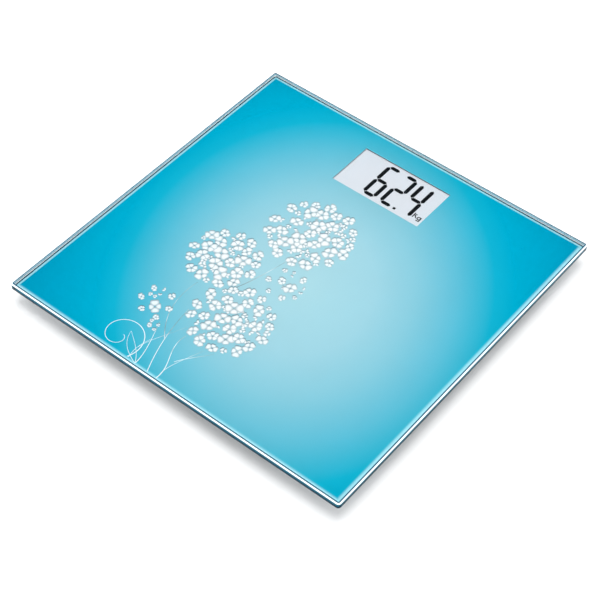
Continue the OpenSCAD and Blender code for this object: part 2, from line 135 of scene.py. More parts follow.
def objectPlace(tree):
    return place(tree, "ShaderNodeTexCoord").outputs["Object"]


def makeMouldedGrain():
    # fine spark-eroded skin, slow blotches in the colour and a few rubbed streaks
    group, given, out = newGroup(
        "mouldedGrain",
        [("Vector", "NodeSocketVector", (0, 0, 0)), ("Grain", "NodeSocketFloat", 2400.0),
         ("Blotch", "NodeSocketFloat", 45.0)],
        [("Shade", "NodeSocketFloat"), ("Roughness", "NodeSocketFloat"), ("Height", "NodeSocketFloat")])
    vector = given.outputs["Vector"]
    fine = noise(group, vector, given.outputs["Grain"], 2.0, 0.6)
    slow = noise(group, vector, given.outputs["Blotch"], 5.0)
    stretched = place(group, "ShaderNodeMapping", {"Vector": vector, "Scale": (9, 140, 60),
                                                   "Rotation": (0.2, 0.1, 0.5)}).outputs[0]
    rub = calc(group, "SUBTRACT", noise(group, stretched, 6.0, 3.0), 0.62, True)
    shade = calc(group, "ADD", calc(group, "MULTIPLY", slow, 0.75), calc(group, "MULTIPLY", fine, 0.25))
    rough = calc(group, "ADD", calc(group, "MULTIPLY", slow, 0.6), calc(group, "MULTIPLY", rub, 1.6), True)
    group.links.new(shade, out.inputs["Shade"])
    group.links.new(rough, out.inputs["Roughness"])
    group.links.new(calc(group, "SUBTRACT", fine, calc(group, "MULTIPLY", rub, 0.5)), out.inputs["Height"])
    return group


def makeRolledSteel():
    # long rolling lines and small stains
    group, given, out = newGroup(
        "rolledSteel",
        [("Vector", "NodeSocketVector", (0, 0, 0)), ("Lines", "NodeSocketFloat", 900.0),
         ("Stain", "NodeSocketFloat", 130.0)],
        [("Shade", "NodeSocketFloat"), ("Roughness", "NodeSocketFloat"), ("Height", "NodeSocketFloat")])
    vector = given.outputs["Vector"]
    stretched = place(group, "ShaderNodeMapping", {"Vector": vector, "Scale": (1, 0.03, 1)}).outputs[0]
    line = noise(group, stretched, given.outputs["Lines"], 3.0, 0.7)
    stain = noise(group, vector, given.outputs["Stain"], 6.0, 0.6)
    shade = calc(group, "ADD", calc(group, "MULTIPLY", line, 0.5), calc(group, "MULTIPLY", stain, 0.5))
    group.links.new(shade, out.inputs["Shade"])
    group.links.new(calc(group, "ADD", calc(group, "MULTIPLY", line, 0.45),
                         calc(group, "MULTIPLY", stain, 0.55)), out.inputs["Roughness"])
    group.links.new(line, out.inputs["Height"])
    return group


def makeFineDust():
    # pale specks that settle on rubber and foam
    group, given, out = newGroup(
        "fineDust",
        [("Vector", "NodeSocketVector", (0, 0, 0)), ("Speck", "NodeSocketFloat", 900.0),
         ("Amount", "NodeSocketFloat", 0.3)],
        [("Mask", "NodeSocketFloat")])
    vector = given.outputs["Vector"]
    cell = place(group, "ShaderNodeTexVoronoi", {"Vector": vector, "Scale": given.outputs["Speck"]})
    speck = calc(group, "LESS_THAN", cell.outputs["Distance"], 0.16)
    cloud = calc(group, "SUBTRACT", noise(group, vector, 60.0, 4.0), 0.42, True)
    both = calc(group, "ADD", calc(group, "MULTIPLY", speck, 0.6), calc(group, "MULTIPLY", cloud, 1.8), True)
    group.links.new(calc(group, "MULTIPLY", both, given.outputs["Amount"]), out.inputs["Mask"])
    return group


groups = {"grain": makeMouldedGrain(), "steel": makeRolledSteel(), "dust": makeFineDust()}


def useGroup(tree, name, values):
    return place(tree, "ShaderNodeGroup", values, node_tree=groups[name])


def newFinish(name):
    finish = bpy.data.materials.new(name)
    finish.use_nodes = True
    return finish, finish.node_tree, finish.node_tree.nodes["Principled BSDF"]


def rgb(red, green, blue):
    # display values 0 to 255 to the shader's linear ones
    def linear(v):
        v = v / 255
        return v / 12.92 if v <= 0.04045 else ((v + 0.055) / 1.055) ** 2.4
    return (linear(red), linear(green), linear(blue), 1)


def addBump(tree, shader, height, depth, strength=1.0):
    bump = place(tree, "ShaderNodeBump", {"Strength": strength, "Distance": depth, "Height": height})
    tree.links.new(bump.outputs[0], shader.inputs["Normal"])


def between(tree, value, low, high):
    return place(tree, "ShaderNodeMapRange", {"Value": value, "To Min": low, "To Max": high}).outputs[0]


def plasticFinish(name, look):
    finish, tree, shader = newFinish(name)
    grain = useGroup(tree, "grain", {"Vector": objectPlace(tree), "Grain": look["grain"],
                                     "Blotch": look.get("blotch", 45.0)})
    colour = blendColour(tree, grain.outputs["Shade"], look["dark"], look["light"])
    if "dust" in look:
        dust = useGroup(tree, "dust", {"Vector": objectPlace(tree), "Amount": look["dust"]})
        colour = blendColour(tree, dust.outputs["Mask"], colour, rgb(176, 172, 164))
    tree.links.new(colour, shader.inputs["Base Color"])
    tree.links.new(between(tree, grain.outputs["Roughness"], *look["rough"]), shader.inputs["Roughness"])
    shader.inputs["Specular IOR Level"].default_value = look.get("specular", 0.5)
    addBump(tree, shader, grain.outputs["Height"], look["depth"] * mm)
    return finish


def metalFinish(name, look):
    finish, tree, shader = newFinish(name)
    steel = useGroup(tree, "steel", {"Vector": objectPlace(tree), "Lines": look.get("lines", 900.0),
                                     "Stain": look.get("stain", 130.0)})
    tree.links.new(blendColour(tree, steel.outputs["Shade"], look["dark"], look["light"]),
                   shader.inputs["Base Color"])
    tree.links.new(between(tree, steel.outputs["Roughness"], *look["rough"]), shader.inputs["Roughness"])
    shader.inputs["Metallic"].default_value = 1.0
    addBump(tree, shader, steel.outputs["Height"], look["depth"] * mm)
    return finish


def newPiece(name, mesh, body=None):
    piece = bpy.data.objects.new(name, mesh)
    scene.collection.objects.link(piece)
    if body:
        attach(piece, body)
    return piece


def mergedCopy(nodeName):
    # the node's loose triangles as one closed shape with its flat faces whole
    shape = bmesh.new()
    shape.from_mesh(nodes[nodeName].data)
    bmesh.ops.remove_doubles(shape, verts=shape.verts, dist=2e-6)
    bmesh.ops.dissolve_limit(shape, angle_limit=math.radians(0.4), verts=shape.verts, edges=shape.edges)
    return shape


def finishedMesh(piece):
    # the piece's modifiers made part of its mesh
    depsgraph = bpy.context.evaluated_depsgraph_get()
    mesh = bpy.data.meshes.new_from_object(piece.evaluated_get(depsgraph), depsgraph=depsgraph)
    piece.modifiers.clear()
    old = piece.data
    piece.data = mesh
    bpy.data.meshes.remove(old)
    return mesh


def smoothOver(mesh, degrees=32):
    mesh.shade_smooth()
    mesh.set_sharp_from_angle(angle=math.radians(degrees))


def softened(nodeName, pieceName, body, finish, width=0.25, segments=2):
    # a copy with its edges rounded over, in place of the node
    shape = mergedCopy(nodeName)
    mesh = bpy.data.meshes.new(pieceName)
    shape.to_mesh(mesh)
    shape.free()
    piece = bpy.data.objects.new(pieceName, mesh)
    scene.collection.objects.link(piece)
    bevel = piece.modifiers.new("edges", "BEVEL")
    bevel.width = width * mm
    bevel.segments = segments
    bevel.limit_method = "ANGLE"
    bevel.angle_limit = math.radians(40)
    bevel.use_clamp_overlap = True
    bevel.miter_outer = "MITER_ARC"
    mesh = finishedMesh(piece)
    mesh.materials.clear()
    mesh.materials.append(finish)
    smoothOver(mesh)
    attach(piece, body)
    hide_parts(nodeName)
    return piece


def paint(finish, *nodeNames):
    for nodeName in nodeNames:
        for holder in nodes[nodeName].material_slots:
            holder.material = finish


# the glass plate: polished faces, ground corners along its edges
glassLook = {"index": 1.5, "tint": rgb(253, 255, 255), "edgeTint": rgb(0, 44, 62), "edgeIndex": 1.15,
             "smear": (0.0, 0.02), "ground": (0.3, 0.5), "paintedShadeLine": (8, 70, 96), "paintedShadeLineWidth": 0.7,
             "highlightDrop": 0.62, "highlightHalf": 0.36, "upper": 3.0}


def clearGlass(name, look, tint, index):
    finish, tree, shader = newFinish(name)
    shader.inputs["Base Color"].default_value = tint
    shader.inputs["Transmission Weight"].default_value = 1.0
    shader.inputs["IOR"].default_value = index
    vector = objectPlace(tree)
    smear = calc(tree, "MULTIPLY", noise(tree, vector, 18.0, 5.0), noise(tree, vector, 160.0, 2.0))
    tree.links.new(between(tree, smear, *look["smear"]), shader.inputs["Roughness"])
    addBump(tree, shader, noise(tree, vector, 9.0, 1.0), 0.004 * mm)
    # lamps reach what lies under the glass
    clear = place(tree, "ShaderNodeBsdfTransparent", {"Color": (0.99, 0.997, 1, 1)})
    lamp = place(tree, "ShaderNodeLightPath").outputs["Is Shadow Ray"]
    mix = place(tree, "ShaderNodeMixShader", {0: lamp, 1: shader.outputs[0], 2: clear.outputs[0]})
    tree.links.new(mix.outputs[0], tree.nodes["Material Output"].inputs["Surface"])
    return finish


def groundGlass(look):
    # the narrow corner faces are ground and matt; on the upper corner a pale band is a painted highlight, and
    # the dark seam where they meet the polished faces is a painted shadow line
    finish, tree, shader = newFinish("groundEdgePaintedLight")
    vector = objectPlace(tree)
    grit = noise(tree, vector, 5200.0, 3.0, 0.7)
    chip = noise(tree, vector, 420.0, 3.0)
    pale = blendColour(tree, chip, rgb(226, 250, 253), rgb(253, 255, 255))
    height = place(tree, "ShaderNodeSeparateXYZ", {0: vector}).outputs["Z"]
    # a pale painted-highlight band runs along the upper corner; above and below it the upper part gets the
    # painted dark shadow line
    step = calc(tree, "ABSOLUTE", calc(tree, "SUBTRACT", height, glassHigh.z - look["highlightDrop"] * mm))
    line = place(tree, "ShaderNodeMapRange", {"Value": step, "From Min": look["highlightHalf"] * mm,
                                              "From Max": (look["highlightHalf"] + 0.1) * mm}).outputs[0]
    onTop = calc(tree, "GREATER_THAN", height, glassHigh.z - look["upper"] * mm)
    line = calc(tree, "MULTIPLY", line, onTop)
    tree.links.new(blendColour(tree, line, pale, rgb(*look["paintedShadeLine"])), shader.inputs["Base Color"])
    tree.links.new(between(tree, grit, *look["ground"]), shader.inputs["Roughness"])
    shader.inputs["IOR"].default_value = look["index"]
    addBump(tree, shader, grit, 0.01 * mm)
    return finish


def makePlate(look):
    shape = mergedCopy("glass_platform")
    shape.normal_update()
    mesh = bpy.data.meshes.new("glassPlate")
    for face in shape.faces:
        lift = abs(face.normal.z)
        face.material_index = 0 if lift > 0.9 else (1 if lift > 0.25 else 2)
    top = [face for face in shape.faces if face.normal.z > 0.9]
    # the outer ring of the top face takes this edge finish and shows the painted dark shadow line
    for face in bmesh.ops.inset_region(shape, faces=top, thickness=look["paintedShadeLineWidth"] * mm)["faces"]:
        face.material_index = 1
    shape.to_mesh(mesh)
    shape.free()
    mesh.materials.append(clearGlass("plateGlass", look, look["tint"], look["index"]))
    mesh.materials.append(groundGlass(look))
    mesh.materials.append(clearGlass("plateSideGlass", look, look["edgeTint"], look["edgeIndex"]))
    smoothOver(mesh, 20)
    piece = newPiece("glassPlate", mesh, "platform")
    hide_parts("glass_platform")


makePlate(glassLook)
print("glass plate made")

# the print under the glass: a blue that deepens outwards from the middle
printLook = {"centre": (13.9, -13.3), "turn": 26.9, "reach": (110.6, 143.9), "light": (1.04, 0.93, 0.87),
             "ring": [(0.0, (172, 221, 236)), (0.45, (162, 216, 234)), (0.72, (139, 208, 229)),
                      (0.97, (101, 198, 225)), (1.10, (70, 192, 222)), (1.22, (20, 186, 220)),
                      (1.35, (0, 181, 219)), (1.75, (0, 167, 208))],
             "nearRim": (143.4, 145.9), "farRim": (145.4, 146.2), "paintedGlowMost": 0.92,
             "paintedGlowColour": (186, 243, 252), "border": (147.3, 147.5), "paintedEdgeShadeColour": (6, 72, 96),
             "sink": 0.03, "backing": (226, 229, 230)}
printReach = 1.8


def printInk(look):
    finish, tree, shader = newFinish("printInk")
    centre = [v * mm for v in look["centre"]]
    vector = objectPlace(tree)
    moved = place(tree, "ShaderNodeMapping", {
        "Vector": vector, "Location": (-centre[0], -centre[1], 0)}).outputs[0]
    turned = place(tree, "ShaderNodeMapping", {
        "Vector": moved, "Rotation": (0, 0, -math.radians(look["turn"]))}).outputs[0]
    scaled = place(tree, "ShaderNodeMapping", {
        "Vector": turned, "Scale": (1 / (look["reach"][0] * mm), 1 / (look["reach"][1] * mm), 0)}).outputs[0]
    length = place(tree, "ShaderNodeVectorMath", {0: scaled}, operation="LENGTH").outputs["Value"]
    ramp = place(tree, "ShaderNodeValToRGB", {0: calc(tree, "DIVIDE", length, printReach)})
    while len(ramp.color_ramp.elements) < len(look["ring"]):
        ramp.color_ramp.elements.new(0.5)
    for stop, (reach, colour) in zip(ramp.color_ramp.elements, look["ring"]):
        stop.position = reach / printReach
        stop.color = [v * k for v, k in zip(rgb(*colour), look["light"])] + [1]
    # the screen's fine dots and a slow unevenness of the ink
    dots = noise(tree, vector, 2600.0, 2.0, 0.5)
    cloud = noise(tree, vector, 28.0, 4.0)
    shade = calc(tree, "ADD", between(tree, dots, -0.03, 0.03), between(tree, cloud, 0.975, 1.025))
    tinted = place(tree, "ShaderNodeVectorMath", {0: ramp.outputs[0], 3: shade}, operation="SCALE").outputs[0]
    # a pale rim painted into the ink: a painted glow standing in for the light that the ground edge throws
    # back on it
    apart = place(tree, "ShaderNodeSeparateXYZ", {0: vector})
    across, along = apart.outputs["X"], apart.outputs["Y"]
    paintedGlows = []
    for side, first, second in (("nearRim", across, calc(tree, "MULTIPLY", along, -1.0)),
                                ("farRim", calc(tree, "MULTIPLY", across, -1.0), along)):
        paintedGlows.append(place(
            tree, "ShaderNodeMapRange",
            {"Value": calc(tree, "MAXIMUM", first, second), "From Min": look[side][0] * mm,
             "From Max": look[side][1] * mm, "To Max": look["paintedGlowMost"]},
            interpolation_type="SMOOTHSTEP").outputs[0])
    tinted = blendColour(tree, calc(tree, "MAXIMUM", *paintedGlows), tinted, rgb(*look["paintedGlowColour"]))
    # a dark band painted along the print's outermost edge: painted shade for the dark line seen at the
    # glass's edge
    outward = calc(tree, "MAXIMUM", calc(tree, "ABSOLUTE", across), calc(tree, "ABSOLUTE", along))
    border = place(tree, "ShaderNodeMapRange", {"Value": outward, "From Min": look["border"][0] * mm,
                                                "From Max": look["border"][1] * mm}).outputs[0]
    tinted = blendColour(tree, border, tinted, rgb(*look["paintedEdgeShadeColour"]))
    tree.links.new(tinted, shader.inputs["Base Color"])
    tree.links.new(between(tree, dots, 0.45, 0.6), shader.inputs["Roughness"])
    shader.inputs["Specular IOR Level"].default_value = 0.0
    addBump(tree, shader, dots, 0.002 * mm)
    return finish


def backingPaint(look):
    finish, tree, shader = newFinish("backingPaint")
    vector = objectPlace(tree)
    orange = noise(tree, vector, 900.0, 3.0)
    slow = noise(tree, vector, 20.0, 4.0)
    pale = rgb(*look["backing"])
    dull = [v * 0.93 for v in pale[:3]] + [1]
    tree.links.new(blendColour(tree, slow, dull, pale), shader.inputs["Base Color"])
    tree.links.new(between(tree, orange, 0.5, 0.7), shader.inputs["Roughness"])
    addBump(tree, shader, orange, 0.01 * mm)
    return finish


def makePrint(look):
    shape = mergedCopy("printed_panel")
    shape.normal_update()
    low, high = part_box("printed_panel")
    for vertex in shape.verts:
        if vertex.co.z > (low.z + high.z) / 2:
            vertex.co.z = glassLow.z + look["sink"] * mm
    mesh = bpy.data.meshes.new("printedPanel")
    for face in shape.faces:
        face.material_index = 0 if face.normal.z > 0.5 else 1
    shape.to_mesh(mesh)
    shape.free()
    mesh.materials.append(printInk(look))
    mesh.materials.append(backingPaint(look))
    piece = newPiece("printedPanel", mesh, "platform")
    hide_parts("printed_panel")


makePrint(printLook)
print("print made")

# blossoms and stems printed in white and silver; the stems turn white near the front edge as a painted
# highlight
blossomLook = {"petals": (4, 5, 5, 4, 3, 2), "outline": 10, "white": (255, 255, 255), "grey": (190, 200, 205),
               "shade": (104, 136, 148), "shadeShift": (-0.5, 0.6), "layer": 0.012,
               "petalStep": 4e-5, "pileStep": 3e-6, "largeLift": 1.6e-4, "smallLift": 1e-5,
               "fillerGap": 0.44, "fillerClear": 0.66}
petalShape = {"wide": 0.64, "narrow": 0.9, "mostSpread": 1.75, "uneven": 0.28, "middle": 0.6,
              "from": 0.56, "swing": 0.44, "notch": 0.07}
headSizes = {"gap": 8.9, "biggest": 7.1, "smallest": 5.5, "filler": 3.0}
spraySizes = {"smallest": 3.0, "filler": 2.0}
clusters = [
    {"name": "head0", "centre": (-15.5, 28.5), "size": (31.5, 31.5), "turn": 0.0, "seed": 4, **headSizes},
    {"name": "head1", "centre": (-49.8, -31), "size": (25.5, 25.5), "turn": 0.0, "seed": 11, **headSizes},
    {"name": "head2", "centre": (-7, -73), "size": (29, 29), "turn": 0.0, "seed": 7, **headSizes},
    {"name": "spray0", "centre": (1.5, -22.5), "size": (13.5, 14.5), "turn": 0.5, "seed": 3,
     "gap": 9.0, "biggest": 5.4, **spraySizes},
    {"name": "spray1", "centre": (-59, -94.5), "size": (12, 14), "turn": 0.6, "seed": 5,
     "gap": 9.0, "biggest": 6.2, **spraySizes},
    {"name": "spray2", "centre": (-46.5, -110), "size": (3.5, 6), "turn": 0.35, "seed": 2,
     "gap": 6.0, "biggest": 3.2, **spraySizes}]
stemLook = {"width": 0.6, "silver": (112, 134, 142), "bright": (250, 253, 253), "highlightBelow": -120}
stems = [((-21.6, -145), (-29.5, -127), (-35, -108), (-37, -84), 1.1),
         ((-31.6, -116), (-44, -103), (-53, -86), (-49, -60.5), 0.9),
         ((-25, -48), (-20, -38), (-16, -20), (-12.6, -4.8), 1.1),
         ((-32.9, -144.6), (-33, -135), (-38.5, -122), (-45.1, -105.6), 1.1),
         ((-13, -145.8), (-11, -130), (-26, -121), (-22, -104), 1.3),
         ((-13, -142), (-15, -134), (-8, -119), (-3.7, -107), 0.7),
         ((-12.8, -127), (-10.7, -122), (-2, -112), (4.1, -104.3), 0.8),
         ((-32.9, -145.2), (-42, -142), (-52, -137), (-54.6, -125.3), 0.75),
         ((-33.3, -144.7), (-38, -136), (-48, -130), (-54.6, -125.3), 0.75),
         ((-40.1, -144), (-42, -137), (-42, -131), (-39, -122), 0.75),
         ((-41.4, -134), (-40, -124), (-33, -112), (-27, -98), 0.55)]
tendril = {"centre": (-58.5, -133), "turns": 1.22, "start": 2.6, "end": 20.5, "turn": -33, "weight": 1.25}


def petalInk(look):
    finish, tree, shader = newFinish("petalInk")
    rim = place(tree, "ShaderNodeAttribute", attribute_name="petalRim").outputs["Fac"]
    vector = objectPlace(tree)
    dots = noise(tree, vector, 2400.0, 2.0)
    ramp = place(tree, "ShaderNodeValToRGB", {0: rim})
    edge, middle = ramp.color_ramp.elements[1], ramp.color_ramp.elements[0]
    middle.color, edge.color = rgb(*look["white"]), rgb(*look["grey"])
    middle.position, edge.position = 0.5, 1.0
    uneven = place(tree, "ShaderNodeVectorMath", {0: ramp.outputs[0], 3: between(tree, dots, 0.96, 1.02)},
                   operation="SCALE").outputs[0]
    tree.links.new(uneven, shader.inputs["Base Color"])
    tree.links.new(between(tree, dots, 0.35, 0.5), shader.inputs["Roughness"])
    addBump(tree, shader, dots, 0.002 * mm)
    return finish


def silverInk(name, dark, bright, highlightBelow=-1.0):
    finish, tree, shader = newFinish(name)
    vector = objectPlace(tree)
    slow = noise(tree, vector, 85.0, 2.0)
    # below a given Y the ink is pushed to its bright colour: a painted highlight on the silver ink towards
    # the front edge
    along = place(tree, "ShaderNodeSeparateXYZ", {0: vector}).outputs["Y"]
    slow = calc(tree, "ADD", slow, place(tree, "ShaderNodeMapRange", {
        "Value": along, "From Min": highlightBelow - 0.02, "From Max": highlightBelow + 0.012, "To Min": 0.9,
        "To Max": 0.0}).outputs[0])
    dots = noise(tree, vector, 2600.0, 2.0)
    tree.links.new(blendColour(tree, between(tree, slow, -1.0, 1.6), rgb(*dark), rgb(*bright)),
                   shader.inputs["Base Color"])
    tree.links.new(between(tree, dots, 0.3, 0.5), shader.inputs["Roughness"])
    addBump(tree, shader, dots, 0.002 * mm)
    return finish


def makeBlossom(name, petals, look, wobble):
    # flat petals, each a fan from its own middle; petalRim runs from 0 there to 1 on the outline
    shape = bmesh.new()
    rim = shape.verts.layers.float.new("petalRim")
    outline = look["outline"]
    for k in range(petals):
        spread = 2 * math.pi / max(petals, 3)
        angle = spread * k + wobble * math.sin(2.1 * k + petals)
        reach = 1 - petalShape["uneven"] * abs(math.sin(1.7 * k + 3 * wobble))
        half = petalShape["wide"] * reach * math.tan(min(spread, petalShape["mostSpread"]) / 2)
        half *= 1.0 if petals > 4 else petalShape["narrow"]
        lift = k * look["petalStep"]
        out = petalShape["middle"] * reach
        middle = shape.verts.new((out * math.cos(angle), out * math.sin(angle), lift))
        ring = []
        for i in range(outline):
            t = 2 * math.pi * i / outline
            along = reach * (petalShape["from"] + petalShape["swing"] * math.cos(t))
            across = half * math.sin(t) * (0.55 + 0.6 * along / reach)
            if math.cos(t) > 0.95:
                # the notch in the petal's tip
                along -= petalShape["notch"] * reach
            vertex = shape.verts.new((along * math.cos(angle) - across * math.sin(angle),
                                      along * math.sin(angle) + across * math.cos(angle), lift))
            vertex[rim] = 1.0
            ring.append(vertex)
        for i in range(outline):
            shape.faces.new((middle, ring[i], ring[(i + 1) % outline]))
    mesh = bpy.data.meshes.new(name)
    shape.to_mesh(mesh)
    shape.free()
    return bpy.data.objects.new(name, mesh)


def newTree(name, inputs):
    tree = bpy.data.node_groups.new(name, "GeometryNodeTree")
    tree.interface.new_socket("Geometry", in_out="INPUT", socket_type="NodeSocketGeometry")
    for label, kind, value in inputs:
        socket = tree.interface.new_socket(label, in_out="INPUT", socket_type=kind)
        if value is not None:
            socket.default_value = value
    tree.interface.new_socket("Geometry", in_out="OUTPUT", socket_type="NodeSocketGeometry")
    return tree, tree.nodes.new("NodeGroupInput"), tree.nodes.new("NodeGroupOutput")


def runTree(tree, name, values):
    # the tree's result as a plain mesh
    piece = bpy.data.objects.new(name, bpy.data.meshes.new(name + "Start"))
    scene.collection.objects.link(piece)
    modifier = piece.modifiers.new("shape", "NODES")
    modifier.node_group = tree
    for socket in tree.interface.items_tree:
        if socket.item_type == "SOCKET" and socket.in_out == "INPUT" and socket.name in values:
            modifier[socket.identifier] = values[socket.name]
    finishedMesh(piece)
    return piece


def joined(name, pieces):
    shape = bmesh.new()
    finishes = []
    for piece in pieces:
        mesh = piece.data
        for finish in mesh.materials:
            if finish not in finishes:
                finishes.append(finish)
        known = [finishes.index(finish) for finish in mesh.materials]
        before = len(shape.faces)
        shape.from_mesh(mesh)
        shape.faces.ensure_lookup_table()
        for face in shape.faces[before:]:
            face.material_index = known[face.material_index] if known else 0
        bpy.data.objects.remove(piece)
    mesh = bpy.data.meshes.new(name)
    shape.to_mesh(mesh)
    shape.free()
    for finish in finishes:
        mesh.materials.append(finish)
    return mesh


def blossomTree(look):
    # blossoms scattered over an ellipse, large in the middle, small ones in the gaps, each with a grey shade
    tree, given, out = newTree("blossomScatter", [
        ("Centre", "NodeSocketVector", (0, 0, 0)), ("Size", "NodeSocketVector", (1, 1, 1)),
        ("Turn", "NodeSocketFloat", 0.0), ("Gap", "NodeSocketFloat", 0.0095),
        ("Biggest", "NodeSocketFloat", 0.006), ("Smallest", "NodeSocketFloat", 0.003),
        ("Filler", "NodeSocketFloat", 0.0016), ("Seed", "NodeSocketInt", 1),
        ("Whole", "NodeSocketCollection", None), ("Broken", "NodeSocketCollection", None),
        ("Petals", "NodeSocketMaterial", None), ("Shade", "NodeSocketMaterial", None),
        ("Shift", "NodeSocketVector", (0, 0, 0))])
    g = given.outputs
    disc = place(tree, "GeometryNodeMeshCircle", {"Vertices": 48, "Radius": 1.0}, fill_type="NGON").outputs[0]
    turn = place(tree, "ShaderNodeCombineXYZ", {"Z": g["Turn"]}).outputs[0]
    disc = place(tree, "GeometryNodeTransform", {"Geometry": disc, "Scale": g["Size"]}).outputs[0]
    disc = place(tree, "GeometryNodeTransform", {"Geometry": disc, "Rotation": turn}).outputs[0]

    def scattered(gap, seedStep):
        seed = calc(tree, "ADD", g["Seed"], float(seedStep))
        node = place(tree, "GeometryNodeDistributePointsOnFaces",
                     {"Mesh": disc, "Distance Min": gap, "Density Max": 400000.0, "Seed": seed},
                     distribute_method="POISSON")
        return node.outputs["Points"]

    def instanced(points, collection, size, seedStep, lift):
        picks = place(tree, "GeometryNodeCollectionInfo", {
            "Collection": collection, "Separate Children": True, "Reset Children": True}).outputs[0]
        step = calc(tree, "ADD", g["Seed"], float(seedStep))
        which = place(tree, "FunctionNodeRandomValue", {4: 0, 5: 3, "Seed": step}, data_type="INT").outputs[2]
        spin = place(tree, "FunctionNodeRandomValue", {0: (0, 0, 0), 1: (0.0, 0.0, 6.283), "Seed": step},
                     data_type="FLOAT_VECTOR").outputs[0]
        vary = place(tree, "FunctionNodeRandomValue", {2: 0.8, 3: 1.12, "Seed": step},
                     data_type="FLOAT").outputs[1]
        size = calc(tree, "MULTIPLY", size, vary)
        # each blossom lies a little higher than the one before, so that none share a plane
        index = place(tree, "GeometryNodeInputIndex").outputs[0]
        rise = place(tree, "ShaderNodeMath", {0: index, 1: look["pileStep"], 2: lift},
                     operation="MULTIPLY_ADD").outputs[0]
        rise = place(tree, "ShaderNodeCombineXYZ", {"Z": rise}).outputs[0]
        points = place(tree, "GeometryNodeSetPosition", {"Geometry": points, "Offset": rise}).outputs[0]
        made = place(tree, "GeometryNodeInstanceOnPoints",
                     {"Points": points, "Instance": picks, "Pick Instance": True, "Instance Index": which,
                      "Rotation": spin, "Scale": size}).outputs[0]
        return place(tree, "GeometryNodeRealizeInstances", {"Geometry": made}).outputs[0]

    large = scattered(g["Gap"], 0)
    where = place(tree, "GeometryNodeInputPosition").outputs[0]
    near = place(tree, "ShaderNodeVectorMath", {0: where, 1: g["Size"]}, operation="DIVIDE").outputs[0]
    reach = place(tree, "ShaderNodeVectorMath", {0: near}, operation="LENGTH").outputs["Value"]
    size = place(tree, "ShaderNodeMapRange", {"Value": reach, "From Min": 0.45, "From Max": 1.0,
                                              "To Min": g["Biggest"], "To Max": g["Smallest"]}).outputs[0]
    small = scattered(calc(tree, "MULTIPLY", g["Gap"], look["fillerGap"]), 9)
    gapSize = place(tree, "GeometryNodeProximity", {0: large}, target_element="POINTS").outputs["Distance"]
    crowded = calc(tree, "LESS_THAN", gapSize, calc(tree, "MULTIPLY", g["Gap"], look["fillerClear"]))
    small = place(tree, "GeometryNodeDeleteGeometry", {"Geometry": small, "Selection": crowded},
                  domain="POINT").outputs[0]
    bloom = place(tree, "GeometryNodeJoinGeometry")
    tree.links.new(instanced(large, g["Whole"], size, 3, look["largeLift"]), bloom.inputs[0])
    tree.links.new(instanced(small, g["Broken"], g["Filler"], 5, look["smallLift"]), bloom.inputs[0])
    shade = place(tree, "GeometryNodeTransform", {"Geometry": bloom.outputs[0],
                                                  "Translation": g["Shift"]}).outputs[0]
    shade = place(tree, "GeometryNodeSetMaterial", {"Geometry": shade, "Material": g["Shade"]}).outputs[0]
    petals = place(tree, "GeometryNodeSetMaterial", {"Geometry": bloom.outputs[0],
                                                     "Material": g["Petals"]}).outputs[0]
    both = place(tree, "GeometryNodeJoinGeometry")
    tree.links.new(shade, both.inputs[0])
    tree.links.new(petals, both.inputs[0])
    moved = place(tree, "GeometryNodeTransform", {"Geometry": both.outputs[0],
                                                  "Translation": g["Centre"]}).outputs[0]
    tree.links.new(moved, out.inputs[0])
    return tree


def stemTree():
    # one printed line along a smooth curve, thin at its end
    tree, given, out = newTree("stemLine", [
        ("Start", "NodeSocketVector", (0, 0, 0)), ("First", "NodeSocketVector", (0, 0, 0)),
        ("Second", "NodeSocketVector", (0, 0, 0)), ("End", "NodeSocketVector", (0, 0, 0)),
        ("Width", "NodeSocketFloat", 0.0005), ("Ink", "NodeSocketMaterial", None)])
    g = given.outputs
    curve = place(tree, "GeometryNodeCurvePrimitiveBezierSegment",
                  {"Resolution": 28, "Start": g["Start"], "Start Handle": g["First"],
                   "End Handle": g["Second"], "End": g["End"]}, mode="POSITION").outputs[0]
    addRibbon(tree, curve, g, out)
    return tree


def tendrilTree():
    # a spiral line that winds in to its tip
    tree, given, out = newTree("tendrilLine", [
        ("Centre", "NodeSocketVector", (0, 0, 0)), ("Turns", "NodeSocketFloat", 1.0),
        ("Inner", "NodeSocketFloat", 0.003), ("Outer", "NodeSocketFloat", 0.02),
        ("Turn", "NodeSocketVector", (0, 0, 0)), ("Width", "NodeSocketFloat", 0.0005),
        ("Ink", "NodeSocketMaterial", None)])
    g = given.outputs
    curve = place(tree, "GeometryNodeCurveSpiral",
                  {"Resolution": 56, "Rotations": g["Turns"], "Start Radius": g["Outer"],
                   "End Radius": g["Inner"], "Height": 0.0, "Reverse": True}).outputs[0]
    curve = place(tree, "GeometryNodeTransform", {"Geometry": curve, "Rotation": g["Turn"],
                                                  "Translation": g["Centre"]}).outputs[0]
    addRibbon(tree, curve, g, out)
    return tree


